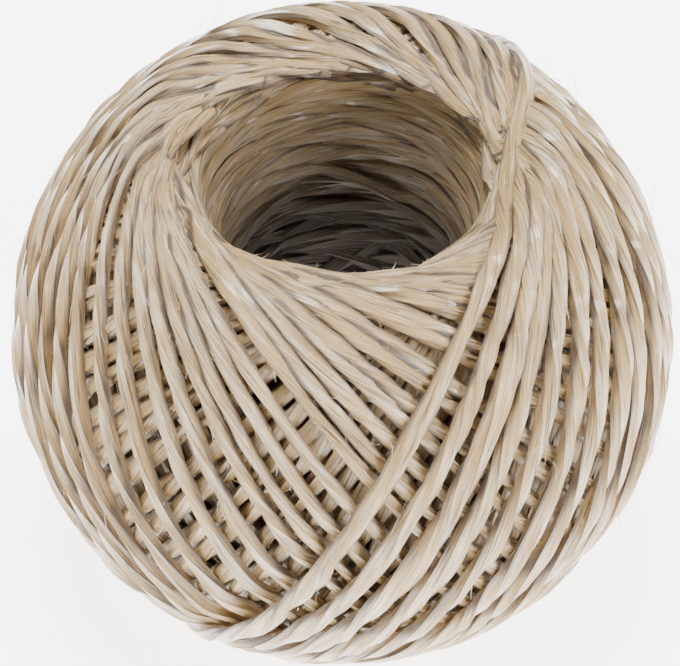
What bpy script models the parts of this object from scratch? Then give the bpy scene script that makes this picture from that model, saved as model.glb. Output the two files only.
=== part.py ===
"""Ball of twine: one long twine wound on a round mandrel that was then drawn out.

The solid is the wound form. Outside it is a short ball. At top and bottom it rolls over a rounded rim and
runs down a flared mouth into the open hole that the mandrel left. Broad shallow bands follow the way the
outer turns lie: each turn is a great loop that grazes the top rim on one side and the bottom rim on the other.
The lower rim is pressed flat into a narrow ring that the ball rests on. Metres, +Z up, origin at the middle
of that ring.
"""

import math

import bmesh
import bpy

NAME = "twine_ball"

# Driving dimensions
BALL_DIAMETER = 0.087  # over the last turn, which stands proud of the others
THROAT_RADIUS = 0.0148  # the mandrel's radius
THROAT_HALF_HEIGHT = 0.0170  # the plain stretch of the hole, above and below the middle
FLARE_ANGLE = math.radians(19.0)  # how far the hole's mouth leans outwards
RIM_ROLL_RADIUS = 0.0060
FOOT_FLAT_DEPTH = 0.0007  # how much of the lower rim is pressed flat

# The outer turns
RIM_GRAZE_ANGLE = math.radians(34.0)  # polar angle of the circle that every turn grazes
LAST_TURN_ANGLE = math.radians(-97.0)  # where the last turn climbs across the middle
BANDS_ROUND = 20
BAND_DEPTH = 0.0008
LAST_TURN_RISE = 0.0005
LAST_TURN_WIDTH = math.radians(9.0)

# Smoothness
STEPS_ROUND = 96
OUTER_STEPS = 12  # from the widest point to the rim, above and below
ROLL_STEPS = 8
FLARE_STEPS = 2
THROAT_STEPS = 3

TWINE_COLOUR = (0.56, 0.45, 0.30, 1.0)

BALL_RADIUS = BALL_DIAMETER / 2


def rim_roll():
    """Centre of the upper rim's roll, and the polar angle where it meets the ball's outside.

    The roll touches the ball's outer circle from inside and the flared mouth from outside.
    """
    reach = BALL_RADIUS - RIM_ROLL_RADIUS
    offset = (
        RIM_ROLL_RADIUS
        + THROAT_RADIUS * math.cos(FLARE_ANGLE)
        - THROAT_HALF_HEIGHT * math.sin(FLARE_ANGLE)
    )
    polar = FLARE_ANGLE + math.asin(offset / reach)
    return reach * math.sin(polar), reach * math.cos(polar), polar


def arc(centre_r, centre_z, radius, first, last, steps):
    """Points of an arc, from one angle to the other. Angles are measured from straight up."""
    angles = [first + (last - first) * i / steps for i in range(steps + 1)]
    return [(centre_r + radius * math.sin(a), centre_z + radius * math.cos(a)) for a in angles]


def straight(start, end, steps):
    """Points of a straight run, without its start."""
    return [
        (start[0] + (end[0] - start[0]) * i / steps, start[1] + (end[1] - start[1]) * i / steps)
        for i in range(1, steps + 1)
    ]


def section():
    """The closed section: up the outside, over the upper rim, down the hole, and round the lower rim."""
    roll_r, roll_z, polar = rim_roll()
    upper = arc(0.0, 0.0, BALL_RADIUS, math.pi / 2, polar, OUTER_STEPS)
    upper += arc(roll_r, roll_z, RIM_ROLL_RADIUS, polar, FLARE_ANGLE - math.pi / 2, ROLL_STEPS)[1:]
    upper += straight(upper[-1], (THROAT_RADIUS, THROAT_HALF_HEIGHT), FLARE_STEPS)
    upper += straight(upper[-1], (THROAT_RADIUS, 0.0), THROAT_STEPS)
    return upper + [(r, -z) for r, z in reversed(upper[1:-1])]


def turned_form():
    """The section turned round the axis by a Screw modifier, applied."""
    mesh = bpy.data.meshes.new(NAME)
    points = section()
    count = len(points)
    edges = [(i, (i + 1) % count) for i in range(count)]
    mesh.from_pydata([(r, 0.0, z) for r, z in points], edges, [])
    ball = bpy.data.objects.new(NAME, mesh)
    collection = bpy.data.collections.new(NAME)
    bpy.context.scene.collection.children.link(collection)
    collection.objects.link(ball)
    screw = ball.modifiers.new("turn", "SCREW")
    screw.axis = "Z"
    screw.angle = 2 * math.pi
    screw.steps = screw.render_steps = STEPS_ROUND
    screw.use_merge_vertices = True
    screw.merge_threshold = 1e-5
    screw.use_smooth_shade = True
    bpy.context.view_layer.objects.active = ball
    ball.select_set(True)
    bpy.ops.object.modifier_apply(modifier=screw.name)
    return ball


def swing(polar):
    """How far round a turn has swung, at this polar angle, since it crossed the middle."""
    steepness = math.tan(math.pi / 2 - polar) * math.tan(RIM_GRAZE_ANGLE)
    return math.asin(max(-1.0, min(1.0, steepness)))


def distance_round(a, b):
    """The shortest way round from one angle to the other."""
    return abs((a - b + math.pi) % (2 * math.pi) - math.pi)


def ages(round_angle, polar):
    """How long ago the climbing and the falling turn that cross here were laid, as turns of the ball.

    Climbing turns lie on top on one side of the ball and falling turns on the other, because the later
    one covers the earlier.
    """
    turned = swing(polar)
    from_last = round_angle - LAST_TURN_ANGLE
    return (from_last - turned) % (2 * math.pi), (from_last - math.pi + turned) % (2 * math.pi)


def band_height(round_angle, polar):
    """How far below the last turn's crest the wound surface lies here, as a negative height."""
    climbing_age, falling_age = ages(round_angle, polar)
    age = min(climbing_age, falling_age)
    crest = 0.5 + 0.5 * math.cos((age + LAST_TURN_ANGLE) * BANDS_ROUND)
    last = min(distance_round(climbing_age, 0.0), distance_round(falling_age, 0.0))
    rise = LAST_TURN_RISE * math.exp(-((last / (LAST_TURN_WIDTH / 2)) ** 2))
    return -BAND_DEPTH * (1.0 - crest) + rise - LAST_TURN_RISE


def ease(t):
    """A smooth step from 0 to 1."""
    t = max(0.0, min(1.0, t))
    return t * t * (3 - 2 * t)


def raise_bands(ball):
    """Moves the outside in and out along its bands, and fades them out over the rims and in the hole."""
    roll_r, roll_z, polar_at_rim = rim_roll()
    fade_start, fade_end = roll_r + 0.8 * RIM_ROLL_RADIUS, roll_r
    for vertex in ball.data.vertices:
        x, y, z = vertex.co
        r = math.hypot(x, y)
        polar = math.atan2(r, z)
        share = ease((r - fade_end) / (fade_start - fade_end))
        if share > 0:
            vertex.co *= 1 + share * band_height(math.atan2(y, x), polar) / BALL_RADIUS


def press_foot(ball):
    """Presses the lower rim flat and puts the origin at the middle of the flat ring."""
    _, roll_z, _ = rim_roll()
    foot = -(roll_z + RIM_ROLL_RADIUS) + FOOT_FLAT_DEPTH
    for vertex in ball.data.vertices:
        vertex.co.z = max(vertex.co.z, foot) - foot


def split_along_turns(ball):
    """Turns the faces outwards and splits each one along the turns that lie on top there."""
    bm = bmesh.new()
    bm.from_mesh(ball.data)
    bmesh.ops.recalc_face_normals(bm, faces=bm.faces)
    climbing, falling = [], []
    for face in bm.faces:
        middle = face.calc_center_median()
        r = math.hypot(middle.x, middle.y)
        climbing_age, falling_age = ages(math.atan2(middle.y, middle.x), math.atan2(r, middle.z))
        (climbing if climbing_age < falling_age else falling).append(face)
    bmesh.ops.triangulate(bm, faces=climbing, quad_method="FIXED")
    bmesh.ops.triangulate(bm, faces=falling, quad_method="ALTERNATE")
    bm.to_mesh(ball.data)
    bm.free()


def twine_material():
    material = bpy.data.materials.new("twine")
    material.use_nodes = True
    shader = material.node_tree.nodes["Principled BSDF"]
    shader.inputs["Base Color"].default_value = TWINE_COLOUR
    shader.inputs["Roughness"].default_value = 0.55
    return material


def main():
    for old in list(bpy.data.objects):
        bpy.data.objects.remove(old)
    ball = turned_form()
    raise_bands(ball)
    split_along_turns(ball)
    press_foot(ball)
    ball.data.materials.append(twine_material())


main()
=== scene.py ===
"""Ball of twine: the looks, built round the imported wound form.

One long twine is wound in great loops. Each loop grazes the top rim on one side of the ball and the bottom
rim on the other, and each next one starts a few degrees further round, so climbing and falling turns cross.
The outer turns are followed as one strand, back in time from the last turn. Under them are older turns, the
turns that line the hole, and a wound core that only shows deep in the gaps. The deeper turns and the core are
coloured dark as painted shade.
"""

import math

import bpy
import numpy as np
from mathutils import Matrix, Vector


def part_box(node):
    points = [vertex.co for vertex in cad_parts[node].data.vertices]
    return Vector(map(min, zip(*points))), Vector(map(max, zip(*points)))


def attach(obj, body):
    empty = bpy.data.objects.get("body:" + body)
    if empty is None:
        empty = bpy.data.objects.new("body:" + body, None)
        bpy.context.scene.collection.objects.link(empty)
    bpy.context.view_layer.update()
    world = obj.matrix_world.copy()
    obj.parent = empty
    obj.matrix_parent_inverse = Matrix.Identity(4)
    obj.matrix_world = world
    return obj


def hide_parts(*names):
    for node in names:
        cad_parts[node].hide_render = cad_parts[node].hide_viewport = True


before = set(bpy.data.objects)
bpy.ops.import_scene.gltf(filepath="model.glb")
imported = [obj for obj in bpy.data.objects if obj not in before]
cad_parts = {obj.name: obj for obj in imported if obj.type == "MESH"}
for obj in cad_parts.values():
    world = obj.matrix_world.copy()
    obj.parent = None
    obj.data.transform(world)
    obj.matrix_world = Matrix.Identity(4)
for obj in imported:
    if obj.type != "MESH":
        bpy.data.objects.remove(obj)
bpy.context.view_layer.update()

bl_info = {
    "name": "Ball of Twine",
    "version": (1, 0, 0),
    "blender": (4, 5, 0),
    "location": "View3D > Sidebar > Twine",
    "description": "Winds a ball of twine turn by turn round its packed form",
    "category": "Add Mesh",
}

BODY = "root"
NODE = "twine_ball"

# The ball's outside, in metres
LOW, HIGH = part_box(NODE)
PROUD = 0.0005  # how far the last turn stands above the others
PRESSED = 0.0007  # how much of the lower rim is pressed flat
RIM_ROLL = 0.0060  # radius of the roll over each rim
BALL_RADIUS = max(HIGH.x, HIGH.y) + PROUD
CREST = (HIGH.z - LOW.z + PRESSED) / 2  # the rims' height above and below the ball's middle
MIDDLE = HIGH.z - CREST
ROLL_REACH = BALL_RADIUS - RIM_ROLL  # from the ball's middle to the middle of the roll
ROLL_RADIUS = math.sqrt(ROLL_REACH**2 - (CREST - RIM_ROLL) ** 2)  # from the ball's axis to the same place
ROLL_POLAR = math.atan2(ROLL_RADIUS, CREST - RIM_ROLL)
LIP_FALL = 0.22  # how steeply the lip falls from the rim towards the hole
FLOOR_CLEARANCE = 0.0001

TURN = 2 * math.pi
GOLDEN_ANGLE = 2.39996
DRAWS = 4096  # how many random values a drift has before it repeats

# Lengths of twine over which the folded film changes, in metres
FOLD_WANDER, FOLD_SWELL, FOLD_WRINKLE, FLAT_BULGE, DEEP_CREASE = 0.009, 0.0065, 0.0021, 0.0050, 0.012
TWIST_DRIFT, WIDTH_DRIFT, TONE_DRIFT = 0.020, 0.011, 0.035

# Where and how the turns lie on each other
CROWDED_FROM, CROWDED_TO = 0.50, 0.76  # shares of the ball's radius, up its axis: turns crowd between them
LEAN = math.radians(17.0)  # how far a turn leans on its neighbour where they crowd
LIFT = 0.00012  # how unevenly a turn lies in height
WIDTH_VARIATION = 0.13  # how much the width strays, as a share of it
FALLING_NARROWER = 0.19  # how much narrower than the mean the falling turns are drawn, as a share of it
STEEP_LINING = 0.27  # rise of the crossed turns in the middle of the hole, for each metre along them
DARKEST_DEPTH = 0.0095  # depth at which a turn's painted shade is as dark as it gets
PLACE_SEED, SHAKE_SEED, WIDTH_SEED, LIFT_SEED, GRAZE_SEED = 71, 72, 73, 74, 236

# The hole, as heights from the ball's middle and distances from its axis, in metres
THROAT_HALF_LENGTH = 0.0170  # height at which the flare begins
FLARE = 0.135  # half of the flare's slope
FLARE_START = 0.008  # how gently the flare begins
LINING_REACH = 0.0290  # height of the highest row of lining
LINING_ROWS, LINING_PARTS, LINING_POINTS = 72, 7, 18

CORE_DEPTH = 0.0062  # how far the core, painted dark as shade, lies below the outside
CORE_END = math.radians(39.0)  # polar angle of the core's ends

OUTER_SPACING = 0.00075  # distance between the cross sections of the outer turns
OLDER_SPACING = 0.0010
BURIED_SPACING = 0.0016
FIBRE_RADIUS = 0.000045
LOWEST_FIBRE = 0.010  # no loose fibres below this height, where the ball rests


# --- Settings -------------------------------------------------------------------------------------------


class TwineWinding(bpy.types.PropertyGroup):
    """How the twine is wound."""

    graze: bpy.props.FloatProperty(
        name="Graze Angle",
        description="Polar angle of the circle that every turn grazes",
        default=math.radians(34.0),
        subtype="ANGLE",
    )
    last_turn: bpy.props.FloatProperty(
        name="Last Turn",
        description="Where the last turn climbs across the middle of the ball",
        default=math.radians(-97.0),
        subtype="ANGLE",
    )
    top_turns: bpy.props.FloatProperty(
        name="Top Turns",
        description="How many turns the open top layer has",
        default=22.4,
    )
    close_step: bpy.props.FloatProperty(
        name="Close Step",
        description="Step of the closer turns under the top layer",
        default=math.radians(5.7),
        subtype="ANGLE",
    )
    step: bpy.props.FloatProperty(
        name="Step",
        description="How far round each turn starts after the one before it",
        default=math.radians(8.05),
        subtype="ANGLE",
    )
    wander: bpy.props.FloatProperty(
        name="Wander",
        description="How far a turn strays from its even place",
        default=math.radians(1.9),
        subtype="ANGLE",
    )
    inner_graze: bpy.props.FloatProperty(
        name="Inner Graze",
        description="How much further in the turns over the back of the mouth pass",
        default=math.radians(3.2),
        subtype="ANGLE",
    )
    graze_wander: bpy.props.FloatProperty(
        name="Graze Wander",
        description="How far the graze angle strays from turn to turn",
        default=math.radians(1.6),
        subtype="ANGLE",
    )
    growth: bpy.props.FloatProperty(
        name="Growth",
        description="Thickness that the ball gains while the turns go once round it",
        default=0.0031,
        unit="LENGTH",
    )
    throat: bpy.props.FloatProperty(
        name="Throat Radius",
        description="Radius of the hole that the mandrel left",
        default=0.0150,
        unit="LENGTH",
    )


class TwineStrand(bpy.types.PropertyGroup):
    """The twine itself: split film, loosely twisted."""

    width: bpy.props.FloatProperty(
        name="Width", description="Width where it lies free", default=0.00242, unit="LENGTH"
    )
    thickness: bpy.props.FloatProperty(
        name="Thickness", description="Thickness where it lies free", default=0.0021, unit="LENGTH"
    )
    pressed_width: bpy.props.FloatProperty(
        name="Pressed Width", description="Width where the turns crowd", default=0.0026, unit="LENGTH"
    )
    pressed_thickness: bpy.props.FloatProperty(
        name="Pressed Thickness",
        description="Thickness where the turns crowd",
        default=0.0016,
        unit="LENGTH",
    )
    pitch: bpy.props.FloatProperty(
        name="Twist Pitch", description="Length of one full twist", default=0.046, unit="LENGTH"
    )
    crumple: bpy.props.FloatProperty(
        name="Crumple", description="How uneven the folded film is", default=0.13, subtype="FACTOR"
    )
    oval: bpy.props.FloatProperty(
        name="Oval", description="How flat the folded film is", default=0.10, subtype="FACTOR"
    )


class TwineColours(bpy.types.PropertyGroup):
    """The twine's colours."""

    straw: bpy.props.FloatVectorProperty(
        name="Straw",
        description="The film's own colour",
        default=(0.490, 0.324, 0.138),
        subtype="COLOR",
        size=3,
    )
    # pale: paler fibres of the film, and the colour of the highlights painted along the streaks
    pale: bpy.props.FloatVectorProperty(
        name="Pale",
        description="Bleached and shiny streaks",
        default=(0.80, 0.662, 0.475),
        subtype="COLOR",
        size=3,
    )
    # brown: the dark fibre lines, and the painted shade at the strands' sides, along the edges of newer turns
    # and on the core
    brown: bpy.props.FloatVectorProperty(
        name="Brown",
        description="Dusty creases and buried turns",
        default=(0.113, 0.080, 0.057),
        subtype="COLOR",
        size=3,
    )
    # buried: the colour of the painted shade that darkens the deepest turns
    buried: bpy.props.FloatVectorProperty(
        name="Buried",
        description="The deepest turns",
        default=(0.030, 0.0175, 0.0105),
        subtype="COLOR",
        size=3,
    )
    floor: bpy.props.FloatVectorProperty(
        name="Floor", description="Studio floor", default=(0.93, 0.93, 0.94), subtype="COLOR", size=3
    )


# --- The wound surface ----------------------------------------------------------------------------------


def surface(polar):
    """Distance from the ball's middle to its outside, and the outside's own slope, at these polar angles.

    The slope is the polar angle of the outward normal. The outside is a sphere that rolls over a rim at
    each end.
    """
    upper = np.where(polar > math.pi / 2, math.pi - polar, polar)
    off = np.clip(ROLL_POLAR - upper, 0.0, None)
    sine = np.minimum(ROLL_REACH * np.sin(off), 0.995 * RIM_ROLL)  # short of the roll's own radius
    rolled = ROLL_REACH * np.cos(off) + np.sqrt(RIM_ROLL**2 - sine**2)
    distance = np.where(off > 0, rolled, BALL_RADIUS)
    r, z = distance * np.sin(upper), distance * np.cos(upper)
    slope = np.where(off > 0, np.arctan2(r - ROLL_RADIUS, z - (CREST - RIM_ROLL)), upper)
    level = (CREST - LIP_FALL * ROLL_RADIUS) / (np.cos(upper) - LIP_FALL * np.sin(upper))
    over_lip = (r < ROLL_RADIUS) & (off > 0)
    distance = np.where(over_lip, level, distance)
    slope = np.where(over_lip, np.maximum(slope, -math.atan(LIP_FALL)), slope)
    slope = np.where(polar > math.pi / 2, math.pi - slope, slope)
    return distance, slope


def drift(place, seed, rows=1):
    """Smooth random values between -1 and 1 along a line, one column for each row asked for."""
    table = np.random.default_rng(seed).uniform(-1, 1, (DRAWS, rows))
    place = np.asarray(place, float)
    cell = np.floor(place).astype(int)
    t = (place - cell)[:, None]
    t = t * t * (3 - 2 * t)
    values = table[cell % DRAWS] * (1 - t) + table[(cell + 1) % DRAWS] * t
    return values[:, 0] if rows == 1 else values


def ease(value, start, end):
    """A smooth step from 0 at start to 1 at end."""
    t = np.clip((value - start) / (end - start), 0, 1)
    return t * t * (3 - 2 * t)


def unit(vectors):
    """These vectors at length 1."""
    return vectors / np.maximum(np.linalg.norm(vectors, axis=1, keepdims=True), 1e-12)


def film_section(along, folds, tight, seed, strand):
    """Cross sections of folded film along a strand, as complex numbers about its middle.

    Even places are the fold lines, which wander round the strand, and odd places are the middles of the
    flats between them. tight goes from 0 where the strand lies free to 1 where it is pressed smooth.
    """
    rng = np.random.default_rng(seed)
    crumple = strand.crumple * (1 - 0.3 * tight)[:, None]
    place = np.arange(folds) + 0.24 * drift(along / FOLD_WANDER, seed + 1, folds)
    radius = 1 + crumple * drift(along / FOLD_SWELL, seed + 2, folds)
    radius += 0.35 * crumple * drift(along / FOLD_WRINKLE, seed + 3, folds)
    fold = radius * np.exp(1j * TURN / folds * place)
    bulge = 0.02 + 0.6 * crumple * drift(along / FLAT_BULGE, seed + 4, folds)
    for crease in range(2):
        at = int(rng.integers(folds))
        pinch = np.clip(0.16 + 0.36 * drift(along / DEEP_CREASE, seed + 5 + crease), 0, None)
        bulge[:, at] -= (1 - 0.5 * tight) * pinch
    flat = (fold + np.roll(fold, -1, axis=1)) / 2 * (1 + bulge)
    section = np.empty((len(along), 2 * folds), complex)
    section[:, 0::2], section[:, 1::2] = fold, flat
    oval = (strand.oval * (1 - 0.6 * tight))[:, None]
    return section.real * (1 + oval) + 1j * section.imag * (1 - oval)


def tube(run, folds, seed, strand):
    """Vertices, faces, thread coordinates, labels and fold marks of one length of twine.

    run holds the centre line, the normal of what it lies on, its width, thickness, lean, tightness and
    depth at each point, the distance along it, and the edges of the newer turns that lie on it. The film
    is folded and twisted, so its fold lines turn round the strand. The labels are what the finish reads:
    tone and depth of the twine, flank (1 at the strand's sides) and under (millimetres past the edge of a
    newer turn).
    """
    sides = 2 * folds
    centre, along = run["centre"], run["along"]
    tangent = unit(np.gradient(centre, axis=0))
    normal = run["normal"] - tangent * np.sum(run["normal"] * tangent, axis=1, keepdims=True)
    normal = unit(normal)
    side = np.cross(normal, tangent)
    lean = run["lean"][:, None]
    side, normal = side * np.cos(lean) + normal * np.sin(lean), normal * np.cos(lean) - side * np.sin(lean)

    twist = along / strand.pitch * TURN + 0.9 * drift(along / TWIST_DRIFT, seed + 9)
    section = film_section(along, folds, run["tight"], seed, strand) * np.exp(-1j * twist)[:, None]
    swell = 1 + 0.08 * drift(along / WIDTH_DRIFT, seed + 10)
    across = section.real * (run["width"] * swell / 2)[:, None]
    height = section.imag * (run["thickness"] / 2)[:, None]
    points = centre[:, None, :] + across[:, :, None] * side[:, None, :]
    points = points + height[:, :, None] * normal[:, None, :]
    around = np.arange(sides) * TURN / sides
    thread = np.empty((len(along), sides, 3))
    thread[:, :, 0] = np.cos(around)[None, :]
    thread[:, :, 1] = np.sin(around)[None, :]
    thread[:, :, 2] = (along + seed * 0.37)[:, None]
    tone = np.repeat(drift(along / TONE_DRIFT, seed + 11)[:, None], sides, axis=1)
    depth = np.repeat(run["depth"][:, None], sides, axis=1)
    # flank marks where the finish paints shade on the strand's sides
    flank = np.abs(section.real) / np.abs(section.real).max(axis=1, keepdims=True)
    # under marks where the finish paints a shadow line along the edge of a newer turn
    under = np.full_like(across, -3.0)
    for toward, edge in run["edges"]:
        past = 1000 * (across * toward[:, None] - edge[:, None])
        under = np.maximum(under, np.clip(past, -3.0, 3.0))

    count = len(along)
    ring = np.arange(sides)
    here = np.arange(count - 1)[:, None] * sides
    walls = np.stack(
        [here + ring, here + (ring + 1) % sides, here + sides + (ring + 1) % sides, here + sides + ring],
        axis=-1,
    ).reshape(-1, 4)
    half = np.arange(sides // 2 - 1)
    cap = np.stack([half, sides - 1 - half, sides - 2 - half, half + 1], axis=-1)
    last = (count - 1) * sides
    faces = np.concatenate([walls, cap, last + cap[:, ::-1]])
    is_fold = np.tile(ring % 2 == 0, count)
    labels = {
        "tone": tone.ravel(),
        "depth": depth.ravel(),
        "flank": flank.ravel(),
        "under": under.ravel(),
    }
    return points.reshape(-1, 3), faces, thread.reshape(-1, 3), labels, is_fold


def add_twine(name, runs, folds, seed, strand):
    """One mesh object from several lengths of twine, with its fold lines sharp and its labels stored."""
    parts = [tube(run, folds, seed + 20 * i, strand) for i, run in enumerate(runs)]
    offsets = np.cumsum([0] + [len(part[0]) for part in parts[:-1]])
    points, threads = (np.concatenate([part[i] for part in parts]).astype(np.float32) for i in (0, 2))
    is_fold = np.concatenate([part[4] for part in parts])
    points[:, 2] = np.maximum(points[:, 2], FLOOR_CLEARANCE)
    faces = np.concatenate([part[1] + offset for part, offset in zip(parts, offsets)])
    mesh = bpy.data.meshes.new(name)
    mesh.vertices.add(len(points))
    mesh.vertices.foreach_set("co", points.ravel())
    mesh.loops.add(faces.size)
    mesh.loops.foreach_set("vertex_index", faces.astype(np.int32).ravel())
    mesh.polygons.add(len(faces))
    mesh.polygons.foreach_set("loop_start", np.arange(0, faces.size, 4, dtype=np.int32))
    mesh.polygons.foreach_set("use_smooth", np.ones(len(faces), bool))
    mesh.update(calc_edges=True)
    mesh.validate()
    ends = np.empty(2 * len(mesh.edges), np.int32)
    mesh.edges.foreach_get("vertices", ends)
    first, second = ends.reshape(-1, 2).T
    creased = (np.abs(first - second) == 2 * folds) & is_fold[first]
    sharp = mesh.attributes.new("sharp_edge", "BOOLEAN", "EDGE")
    sharp.data.foreach_set("value", creased)
    thread = mesh.attributes.new("thread", "FLOAT_VECTOR", "POINT")
    thread.data.foreach_set("vector", threads.ravel())
    for label in parts[0][3]:
        values = np.concatenate([part[3][label] for part in parts]).astype(np.float32)
        mesh.attributes.new(label, "FLOAT", "POINT").data.foreach_set("value", values)
    piece = bpy.data.objects.new(name, mesh)
    bpy.context.scene.collection.objects.link(piece)
    mesh.materials.append(shared_finish("straw_film", twine_finish))
    finish_piece(piece)
    return piece


def finish_piece(piece):
    """A piece rides on the ball's body and stands for its packed form, which is hidden."""
    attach(piece, BODY)
    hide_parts(NODE)


# --- The turns ------------------------------------------------------------------------------------------


def loop_points(middle_angle, t, graze):
    """Directions along great loops. middle_angle is where each is highest, and t is the way along it."""
    high = np.stack(
        [
            np.sin(graze) * np.cos(middle_angle),
            np.sin(graze) * np.sin(middle_angle),
            np.cos(graze) * np.ones_like(middle_angle),
        ],
        axis=1,
    )
    level = np.stack(
        [-np.sin(middle_angle), np.cos(middle_angle), np.zeros_like(middle_angle)], axis=1
    )
    return np.cos(t)[:, None] * high + np.sin(t)[:, None] * level


def crowding(t, graze):
    """From 0 where the turns lie apart to 1 where they lie on each other, near the rims."""
    return ease(np.abs(np.cos(t)) * np.cos(graze), CROWDED_FROM, CROWDED_TO)


def turn_age(back, winding):
    """How far the winding has gone round since this turn, counted back from the end.

    The turns under the top layer lie closer, as the ball was wound more tightly before its last layer.
    """
    top = np.minimum(back, winding.top_turns)
    return winding.step * top + winding.close_step * (back - top)


def graze_angle(back, age, winding):
    """The graze angle of each turn. Some of the last turns pass further in, over the back of the mouth."""
    degrees = np.degrees(age)
    inner = (0.5 + 0.5 * ease(degrees, 0, 60)) * (1 - ease(degrees, 120, 200))
    wander = winding.graze_wander * drift(back * 0.93 + 0.21, GRAZE_SEED)
    return winding.graze - winding.inner_graze * inner + wander


def buried_depth(age, t, graze, winding):
    """How deep a turn lies. It dips by a layer wherever newer turns cross over it."""
    latitude = math.pi / 2 - np.arccos(np.clip(np.cos(t) * np.cos(graze), -1, 1))
    bearing = np.arcsin(np.clip(np.tan(latitude) * np.tan(graze), -1, 1))
    soft, late = math.radians(4), math.radians(7)  # a turn dips this long before and after the crossing

    def layers_over(covered_from):
        covered_from = np.maximum(covered_from, 1.6 * winding.step)
        starts = (covered_from, TURN, covered_from + TURN)
        return sum(ease(age, start - soft, start + late) for start in starts)

    falling = ease(np.sin(t), -0.16, 0.16)
    layers = (1 - falling) * layers_over(math.pi - 2 * bearing)
    layers += falling * layers_over(math.pi + 2 * bearing)
    newest = PROUD * ease(age, math.radians(3), math.radians(12))
    pressed_in, each_layer = 0.34 * age / TURN, 0.42 * layers
    return winding.growth * (pressed_in + each_layer) + newest


def turn_place(back, winding):
    """Where each turn is highest round the ball, and its graze angle."""
    age = turn_age(back, winding)
    high_at = winding.last_turn + math.pi / 2 - winding.step / 2 + age
    stray = 0.75 * drift(back + 0.5, PLACE_SEED) + 0.35 * drift(back * 5.0, SHAKE_SEED)
    high_at = high_at + winding.wander * stray
    return high_at, graze_angle(back, age, winding)


def newer_edges(back, t, direction, width, winding):
    """For each of the two turns laid after this one, its side (1 or -1) and how far out its near edge lies.

    Where the two cross, at the rims, the edge is put far out, so that no painted shadow line is drawn along
    it.
    """
    along = np.gradient(direction, axis=0)
    side = unit(np.cross(direction, along))
    edges = []
    for later in (1, 2):
        newer = np.maximum(back - later, 0.0)
        high_at, graze = turn_place(newer, winding)
        gap = np.sum((loop_points(high_at, t, graze) - direction) * side, axis=1) * BALL_RADIUS
        crossing = 1 - ease(np.abs(gap), 0.0004, 0.0013)
        edge = np.abs(gap) - width / 2 + 0.004 * crossing
        edges.append((np.sign(gap), np.where(back >= later, edge, 1.0)))
    return edges


def wound_run(first, last, spacing, winding, strand):
    """The strand from first to last, counted in turns back from its end."""
    count = int((last - first) * TURN * BALL_RADIUS / spacing)
    back = np.linspace(last, first, count)
    t = math.pi - back * TURN
    age = turn_age(back, winding)
    high_at, graze = turn_place(back, winding)
    direction = loop_points(high_at, t, graze)
    polar = np.arccos(np.clip(direction[:, 2], -1, 1))
    distance, slope = surface(polar)
    crowd = crowding(t, graze)
    width = strand.width + (strand.pressed_width - strand.width) * crowd
    thickness = strand.thickness + (strand.pressed_thickness - strand.thickness) * crowd
    width = width * (1 + WIDTH_VARIATION * drift(back * 2.3, WIDTH_SEED))
    width = width * (1 - FALLING_NARROWER * np.sin(t) * (1 - crowd))
    depth = buried_depth(age, t, graze, winding)
    flat = unit(direction * [1, 1, 0])
    normal = flat * np.sin(slope)[:, None]
    normal[:, 2] = np.cos(slope)
    lift = LIFT * drift(back * 31.0, LIFT_SEED)
    centre = direction * (distance - depth + lift)[:, None] - normal * (thickness / 2)[:, None]
    centre[:, 2] += MIDDLE
    lean_side = np.clip(np.sin(t) / 0.15, -1, 1)
    return {
        "centre": centre,
        "normal": normal,
        "width": width,
        "thickness": thickness,
        "lean": LEAN * crowd * lean_side,
        "tight": crowd,
        "along": -back * TURN * BALL_RADIUS + 100.0,
        # depth drives painted shade: the deeper a turn lies, the darker the finish paints it
        "depth": np.clip(depth / DARKEST_DEPTH, 0, 1),
        "edges": newer_edges(back, t, direction, width, winding),
    }


def wall_radius(z, winding):
    """Radius of the hole at this height from the ball's middle: straight inside, flared to the mouths."""
    past = np.abs(z) - THROAT_HALF_LENGTH
    return winding.throat + FLARE * (past + np.sqrt(past**2 + FLARE_START**2))


def lining_runs(seed, winding):
    """Parts of the first turns, where each grazes the hole's wall and then dives behind its neighbours.

    The rows go from the top mouth to the bottom one, each turned round the hole from the row before it.
    """
    rng = np.random.default_rng(seed)
    return [
        lining_run(row, part, rng, winding) for row in range(LINING_ROWS) for part in range(LINING_PARTS)
    ]


def lining_run(row, part, rng, winding):
    """One short length of twine on the hole's wall, steeper and wider near the middle of the hole."""
    level = LINING_REACH - 2 * LINING_REACH * row / (LINING_ROWS - 1)
    share = 1 - abs(level) / LINING_REACH
    z0 = level + rng.normal(0, 0.00045)
    middle = row * GOLDEN_ANGLE + part * TURN / LINING_PARTS + rng.normal(0, 0.12)
    half_span = math.radians(rng.uniform(34, 48))
    turn = np.linspace(-half_span, half_span, LINING_POINTS)
    incline = rng.normal(0, 0.05 + 0.16 * share)
    if share > 0.75:
        incline += rng.choice([-STEEP_LINING, STEEP_LINING])
    sag = math.copysign(0.0030 * (1 - share), level)
    z = z0 + incline * wall_radius(z0, winding) * turn - sag * turn**2
    r = wall_radius(z, winding) + 0.0002 + rng.uniform(0, 0.0005) + 0.0026 * turn**2
    slope = (wall_radius(z + 0.0005, winding) - wall_radius(z - 0.0005, winding)) / 0.001
    across, up = np.cos(middle + turn), np.sin(middle + turn)
    below_mouth, below_middle = ease(-z, -0.0290, -0.0215), ease(-z, -0.0215, -0.002)
    return {
        "centre": np.stack([r * across, r * up, z + MIDDLE], axis=1),
        "normal": unit(np.stack([-across, -up, slope], axis=1)),
        "width": np.full_like(turn, 0.0021 + 0.0006 * share) * rng.uniform(0.75, 1.2),
        "thickness": np.full_like(turn, 0.0010),
        "lean": np.full_like(turn, math.radians(rng.uniform(-4, 14))),
        "tight": np.full_like(turn, 0.8),
        "edges": [],
        "along": turn * wall_radius(z0, winding),
        # painted shade: the lining is coloured darker below the mouth and again towards the middle of the
        # hole
        "depth": 0.35 + 0.35 * below_mouth + 0.30 * below_middle,
    }


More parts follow.
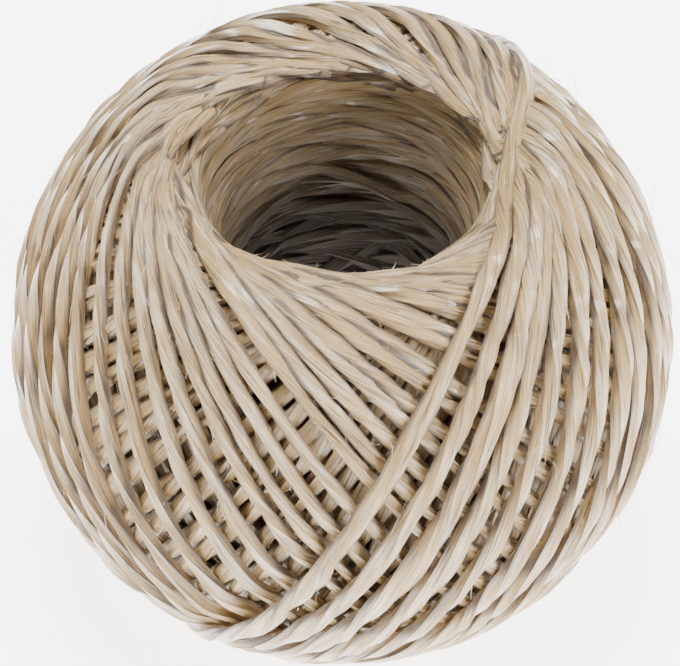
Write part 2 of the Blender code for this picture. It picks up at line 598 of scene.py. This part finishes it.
def loose_fibres(run, count, longest, rise, seed):
    """Bent lines of fibres that have come away from one length of twine.

    longest is the longest fibre's length, and rise is how steeply they stand off the twine.
    """
    rng = np.random.default_rng(seed)
    at = rng.integers(2, len(run["along"]) - 2, count)
    at = at[run["centre"][at, 2] > LOWEST_FIBRE]
    count = len(at)
    tangent = unit(run["centre"][at + 1] - run["centre"][at - 1])
    tangent *= rng.choice([-1.0, 1.0], count)[:, None]
    normal = run["normal"][at]
    side = np.cross(normal, tangent)
    lean = rng.uniform(-1.3, 1.3, count)[:, None]
    start = run["centre"][at] + 0.45 * (
        normal * np.cos(lean) * run["thickness"][at, None] + side * np.sin(lean) * run["width"][at, None]
    )
    out = normal * np.cos(lean) + side * np.sin(lean)
    heading = unit(tangent + out * rise * rng.uniform(0.3, 1.0, (count, 1)))
    bend = rng.normal(0, 0.5, (count, 3)) - 0.3 * out
    length = longest * rng.uniform(0.25, 1.0, count) ** 1.5
    step = np.linspace(0, 1, 6)[None, :, None]
    return start[:, None] + length[:, None, None] * (heading[:, None] * step + bend[:, None] * step**2 / 2)


def add_fibres(name, lines):
    """One mesh object of fine round fibres along these lines."""
    curve = bpy.data.curves.new(name, "CURVE")
    curve.dimensions, curve.bevel_depth, curve.bevel_resolution = "3D", FIBRE_RADIUS, 0
    for line in lines:
        spline = curve.splines.new("POLY")
        spline.points.add(len(line) - 1)
        spline.points.foreach_set("co", np.column_stack([line, np.ones(len(line))]).ravel())
        spline.points.foreach_set("radius", np.linspace(1.0, 0.35, len(line)))
    fibres = bpy.data.objects.new(name, curve)
    bpy.context.scene.collection.objects.link(fibres)
    bpy.ops.object.select_all(action="DESELECT")
    bpy.context.view_layer.objects.active = fibres
    fibres.select_set(True)
    bpy.ops.object.convert(target="MESH")
    fibres = bpy.context.object
    fibres.data.materials.clear()
    fibres.data.materials.append(shared_finish("loose_fibre", fibre_finish))
    finish_piece(fibres)
    return fibres


# --- Materials ------------------------------------------------------------------------------------------


class Sum:
    """A shader socket that can be added, taken away and multiplied."""

    def __init__(self, tree, socket):
        self.tree, self.socket = tree, socket

    def _maths(self, operation, first, second):
        node = self.tree.nodes.new("ShaderNodeMath")
        node.operation = operation
        for slot, value in zip(node.inputs, (first, second)):
            if isinstance(value, Sum):
                self.tree.links.new(value.socket, slot)
            else:
                slot.default_value = value
        return Sum(self.tree, node.outputs[0])

    def __add__(self, other):
        return self._maths("ADD", self, other)

    def __sub__(self, other):
        return self._maths("SUBTRACT", self, other)

    def __mul__(self, other):
        return self._maths("MULTIPLY", self, other)

    def __rsub__(self, other):
        return self._maths("SUBTRACT", other, self)

    __radd__, __rmul__ = __add__, __mul__


class Finish:
    """A new material whose nodes are added one call at a time."""

    def __init__(self, name):
        self.material = bpy.data.materials.new(name)
        self.material.use_nodes = True
        self.tree = self.material.node_tree
        self.tree.nodes.clear()

    def node(self, kind, choices=None, output=0, **values):
        """Adds a node, makes its choices, then gives its sockets their values or links.

        A socket is given by its name, or by its number after an underscore.
        """
        node = self.tree.nodes.new(kind)
        for label, value in (choices or {}).items():
            setattr(node, label, value)
        for label, value in values.items():
            key = int(label[1:]) if label[1:].isdigit() else label.replace("_", " ")
            socket = node.inputs[key]
            if isinstance(value, Sum):
                self.tree.links.new(value.socket, socket)
            else:
                socket.default_value = value
        return Sum(self.tree, node.outputs[output]) if node.outputs else None

    def attribute(self, name, vector=False):
        return self.node("ShaderNodeAttribute", {"attribute_name": name}, "Vector" if vector else "Fac")

    def stretch(self, vector, scale):
        return self.node("ShaderNodeVectorMath", {"operation": "MULTIPLY"}, _0=vector, _1=scale)

    def noise(self, vector, scale, detail=2.0):
        return self.node(
            "ShaderNodeTexNoise", {"noise_dimensions": "3D"}, "Fac", Vector=vector, Scale=scale, Detail=detail
        )

    def spread(self, value, low, high, to_low=0.0, to_high=1.0):
        """Spreads the values from low to high over to_low to to_high, and holds them there beyond."""
        return self.node(
            "ShaderNodeMapRange",
            {"clamp": True},
            Value=value,
            From_Min=low,
            From_Max=high,
            To_Min=to_low,
            To_Max=to_high,
        )

    def mix(self, share, first, second):
        """A colour between two others, each of them a plain colour or a socket."""
        first, second = (c if isinstance(c, Sum) else (*c, 1.0) for c in (first, second))
        return self.node("ShaderNodeMix", {"data_type": "RGBA"}, 2, _0=share, _6=first, _7=second)

    def bump(self, height, strength):
        return self.node("ShaderNodeBump", None, "Normal", Height=height, Strength=strength, Distance=0.0005)

    def done(self, **values):
        """Adds the shader and the output, and gives the finished material."""
        shader = self.node("ShaderNodeBsdfPrincipled", None, "BSDF", **values)
        self.node("ShaderNodeOutputMaterial", Surface=shader)
        return self.material


def twine_finish(colours):
    """Split film: fine lengthwise fibres that turn with the twist, and pale streaks that are partly painted
    highlights. Shade is painted at the strands' sides, along the edges of newer turns and on the deeper
    turns.
    """
    finish = Finish("straw_film")
    thread = finish.attribute("thread", vector=True)
    tone = finish.attribute("tone")
    flank = finish.attribute("flank")
    fibres = finish.noise(finish.stretch(thread, (4.2, 4.2, 95.0)), 1.0, 3.0)
    fine = finish.noise(finish.stretch(thread, (13.0, 13.0, 200.0)), 1.0, 2.0)
    streaks = finish.noise(finish.stretch(thread, (1.9, 1.9, 150.0)), 1.0, 1.0)

    # painted highlight: pale streaks along the fibres, partly paler film and partly painted glints
    pale_and_glint_share = finish.spread(streaks * 0.55 + fine * 0.45 + tone * 0.06, 0.48, 0.66, 0.0, 0.70)
    brown_share = finish.spread(fibres * 0.55 + fine * 0.45, 0.47, 0.37, 0.0, 0.95)
    # painted shade: the strands' sides darken towards brown, where they turn from the light and meet their
    # neighbours
    creased = finish.spread(flank + fine * 0.30, 0.84, 1.10, 0.0, 0.9)
    # painted shadow: a dark band on this turn just past the edge of a newer turn that lies on it
    under = finish.attribute("under") + fine * 0.4
    shaded = finish.spread(under, -0.25, 0.15, 0.0, 0.95) * finish.spread(under, 0.5, 1.0, 1.0, 0.0)
    # painted shade: the deeper the twine, the more of the dark buried colour, standing for the shade between
    # turns and down the hole
    buried = finish.spread(finish.attribute("depth"), 0.36, 0.96, 0.0, 0.96)

    brown = tuple(colours.brown)
    colour = finish.mix(pale_and_glint_share, tuple(colours.straw), tuple(colours.pale))
    colour = finish.mix(brown_share, colour, brown)
    colour = finish.mix(creased, colour, brown)
    colour = finish.mix(shaded, colour, brown)
    colour = finish.mix(buried, colour, tuple(colours.buried))
    return finish.done(
        Base_Color=colour,
        Roughness=finish.spread(fine, 0.3, 0.7, 0.20, 0.42) + buried * 0.5,
        Normal=finish.bump(fibres * 0.6 + fine * 0.4, 0.9),
        Specular_IOR_Level=0.5,
        Coat_Weight=finish.spread(streaks, 0.42, 0.60, 0.05, 0.7) * (1 - buried),
        Coat_Roughness=0.17,
        Sheen_Weight=0.08,
        Sheen_Roughness=0.4,
    )


def fibre_finish(colours):
    """Single fibres of the film, some straw and some bleached."""
    finish = Finish("loose_fibre")
    place = finish.node("ShaderNodeTexCoord", None, "Object")
    patches = finish.noise(place, 500.0, 1.0)
    colour = finish.mix(finish.spread(patches, 0.4, 0.6), tuple(colours.straw), tuple(colours.pale))
    return finish.done(Base_Color=colour, Roughness=0.4, Sheen_Weight=0.2, Sheen_Roughness=0.4)


def core_shade_finish(colours):
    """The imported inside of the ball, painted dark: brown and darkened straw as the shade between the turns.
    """
    finish = Finish("wound_core")
    place = finish.node("ShaderNodeTexCoord", None, "Object")
    bands = finish.noise(finish.stretch(place, (90.0, 90.0, 700.0)), 1.0, 3.0)
    # painted shade: straw darkened to stand for the shade deep in the gaps
    shaded_straw = tuple(0.55 * channel for channel in colours.straw)
    colour = finish.mix(finish.spread(bands, 0.35, 0.65), tuple(colours.brown), shaded_straw)
    return finish.done(Base_Color=colour, Roughness=0.8, Normal=finish.bump(bands, 0.8), Sheen_Weight=0.1)


def floor_finish(colours):
    """A pale floor that glows, so that it stays nearly white round the ball."""
    finish = Finish("studio_floor")
    grain = finish.noise(finish.node("ShaderNodeTexCoord", None, "Object"), 3.0, 2.0)
    paler = tuple(min(1.0, channel * 1.02) for channel in colours.floor)
    return finish.done(
        Base_Color=finish.mix(grain, tuple(colours.floor), paler),
        Roughness=0.9,
        Emission_Color=(1.0, 1.0, 1.0, 1.0),
        Emission_Strength=4.6,
    )


def shared_finish(name, make):
    """The material of this name, made once and then shared by like pieces."""
    return bpy.data.materials.get(name) or make(settings()[2])


# --- Operators ------------------------------------------------------------------------------------------


def settings():
    """The scene's settings for the winding, the strand and the colours."""
    scene = bpy.context.scene
    return scene.twine_winding, scene.twine_strand, scene.twine_colours


class TWINE_OT_outer_turns(bpy.types.Operator):
    """Winds the last turns, which cover the ball"""

    bl_idname = "twine.outer_turns"
    bl_label = "Outer Turns"

    def execute(self, context):
        winding, strand, _ = settings()
        for name, first, last in (("outer_turns_late", 0.0, 13.0), ("outer_turns_early", 13.0, 26.0)):
            run = wound_run(first, last, OUTER_SPACING, winding, strand)
            add_twine(name, [run], folds=5, seed=300, strand=strand)
        return {"FINISHED"}


class TWINE_OT_older_turns(bpy.types.Operator):
    """Winds the turns that show in the gaps"""

    bl_idname = "twine.older_turns"
    bl_label = "Older Turns"

    def execute(self, context):
        winding, strand, _ = settings()
        for name, first, last, spacing, folds in (
            ("older_turns_late", 26.0, 41.0, OLDER_SPACING, 6),
            ("older_turns_early", 41.0, 56.0, OLDER_SPACING, 6),
            ("buried_turns", 56.0, 90.0, BURIED_SPACING, 5),
        ):
            run = wound_run(first, last, spacing, winding, strand)
            add_twine(name, [run], folds, seed=500, strand=strand)
        return {"FINISHED"}


class TWINE_OT_hole_lining(bpy.types.Operator):
    """Lays the turns that line the hole"""

    bl_idname = "twine.hole_lining"
    bl_label = "Hole Lining"

    def execute(self, context):
        winding, strand, _ = settings()
        add_twine("hole_lining", lining_runs(21, winding), folds=5, seed=2000, strand=strand)
        return {"FINISHED"}


class TWINE_OT_loose_fibres(bpy.types.Operator):
    """Frays the turns: stray fibres on the outer turns and short bristle on the turns below"""

    bl_idname = "twine.loose_fibres"
    bl_label = "Loose Fibres"

    def execute(self, context):
        winding, strand, _ = settings()
        outer = wound_run(0.0, 24.0, OUTER_SPACING, winding, strand)
        below = wound_run(20.0, 48.0, OLDER_SPACING, winding, strand)
        add_fibres("stray_fibres", loose_fibres(outer, count=700, longest=0.0048, rise=0.5, seed=31))
        add_fibres("bristle", loose_fibres(below, count=3200, longest=0.0018, rise=1.1, seed=32))
        return {"FINISHED"}


class TWINE_OT_wound_core(bpy.types.Operator):
    """Turns the core, painted dark as shade, that closes the view between the turns"""

    bl_idname = "twine.wound_core"
    bl_label = "Wound Core"

    def execute(self, context):
        winding, _, colours = settings()
        bpy.ops.object.select_all(action="DESELECT")
        outer = BALL_RADIUS - CORE_DEPTH
        polar = np.linspace(CORE_END, math.pi - CORE_END, 25)
        section = [(outer * math.sin(a), outer * math.cos(a)) for a in polar]
        mouth = outer * math.cos(CORE_END)
        section += [(wall_radius(z, winding) + 0.0010, z) for z in np.linspace(-mouth, mouth, 15)]
        mesh = bpy.data.meshes.new("wound_core")
        count = len(section)
        mesh.from_pydata(
            [(r, 0.0, z + MIDDLE) for r, z in section], [(i, (i + 1) % count) for i in range(count)], []
        )
        core = bpy.data.objects.new("wound_core", mesh)
        context.scene.collection.objects.link(core)
        context.view_layer.objects.active = core
        core.select_set(True)
        screw = core.modifiers.new("turn", "SCREW")
        screw.steps = screw.render_steps = 72
        screw.use_merge_vertices, screw.merge_threshold = True, 1e-5
        bpy.ops.object.modifier_apply(modifier=screw.name)
        bpy.ops.object.mode_set(mode="EDIT")
        bpy.ops.mesh.select_all(action="SELECT")
        bpy.ops.mesh.normals_make_consistent(inside=False)
        bpy.ops.object.mode_set(mode="OBJECT")
        mesh.materials.append(core_shade_finish(colours))
        finish_piece(core)
        return {"FINISHED"}


class TWINE_OT_stage(bpy.types.Operator):
    """Sets a plain pale floor, soft studio light and the camera"""

    bl_idname = "twine.stage"
    bl_label = "Stage"

    def execute(self, context):
        bpy.ops.object.select_all(action="DESELECT")
        bpy.ops.mesh.primitive_plane_add(size=6.0, location=(0, 0, 0))
        floor = context.object
        floor.name = "studio_floor"
        floor.data.materials.append(floor_finish(settings()[2]))
        add_lights()
        add_camera()
        return {"FINISHED"}


def aim(thing, place, target):
    """Puts a light or camera at its place, facing the target."""
    thing.location = place
    thing.rotation_euler = (Vector(target) - Vector(place)).to_track_quat("-Z", "Y").to_euler()


def add_lights():
    """A dim white room with three soft boxes, the strongest of them above and behind the ball."""
    world = bpy.data.worlds.new("studio")
    bpy.context.scene.world = world
    world.use_nodes = True
    back = world.node_tree.nodes["Background"]
    back.inputs["Color"].default_value = (1.0, 1.0, 1.0, 1.0)
    back.inputs["Strength"].default_value = 0.16
    for name, place, size, power in (
        ("softbox_above", (-0.04, 0.15, 0.95), 0.40, 17.5),
        ("softbox_left", (-0.70, -0.40, 0.55), 0.30, 2.6),
        ("softbox_right", (0.75, -0.35, 0.55), 0.30, 7.8),
    ):
        lamp = bpy.data.lights.new(name, "AREA")
        lamp.size, lamp.energy = size, power
        light = bpy.data.objects.new(name, lamp)
        bpy.context.scene.collection.objects.link(light)
        aim(light, place, (0, 0, MIDDLE))


CAMERA_ELEVATION = math.radians(46.0)
CAMERA_DISTANCE = 0.68
CAMERA_FIELD = 0.1293  # width of the view for each metre from the camera
CAMERA_SIDE = -0.0003


def add_camera():
    """A camera above the front of the ball, looking down at it through a long lens."""
    camera = bpy.data.cameras.new("camera")
    camera.sensor_width = 36.0
    camera.lens = camera.sensor_width / CAMERA_FIELD
    eye = bpy.data.objects.new("camera", camera)
    bpy.context.scene.collection.objects.link(eye)
    forward = -CAMERA_DISTANCE * math.cos(CAMERA_ELEVATION)
    height = MIDDLE + CAMERA_DISTANCE * math.sin(CAMERA_ELEVATION)
    aim(eye, (CAMERA_SIDE, forward, height), (CAMERA_SIDE, 0, MIDDLE))
    bpy.context.scene.camera = eye


class TWINE_PT_panel(bpy.types.Panel):
    """Lists the pieces of the ball"""

    bl_label = "Ball of Twine"
    bl_idname = "TWINE_PT_panel"
    bl_space_type = "VIEW_3D"
    bl_region_type = "UI"
    bl_category = "Twine"

    def draw(self, context):
        for group in (context.scene.twine_winding, context.scene.twine_strand, context.scene.twine_colours):
            for label in group.__annotations__:
                self.layout.prop(group, label)
        for operator in OPERATORS:
            self.layout.operator(operator.bl_idname)


OPERATORS = (
    TWINE_OT_wound_core,
    TWINE_OT_hole_lining,
    TWINE_OT_older_turns,
    TWINE_OT_outer_turns,
    TWINE_OT_loose_fibres,
    TWINE_OT_stage,
)
GROUPS = {"twine_winding": TwineWinding, "twine_strand": TwineStrand, "twine_colours": TwineColours}


def register():
    """Adds the settings, operators and panel to Blender."""
    for group in GROUPS.values():
        bpy.utils.register_class(group)
    for label, group in GROUPS.items():
        setattr(bpy.types.Scene, label, bpy.props.PointerProperty(type=group))
    for operator in OPERATORS:
        bpy.utils.register_class(operator)
    bpy.utils.register_class(TWINE_PT_panel)


def unregister():
    """Takes them out again."""
    bpy.utils.unregister_class(TWINE_PT_panel)
    for operator in reversed(OPERATORS):
        bpy.utils.unregister_class(operator)
    for label, group in GROUPS.items():
        delattr(bpy.types.Scene, label)
        bpy.utils.unregister_class(group)


def main():
    """Makes the ball and its stage."""
    register()
    bpy.ops.twine.wound_core()
    bpy.ops.twine.hole_lining()
    bpy.ops.twine.older_turns()
    bpy.ops.twine.outer_turns()
    bpy.ops.twine.loose_fibres()
    bpy.ops.twine.stage()


if __name__ == "__main__":
    main()
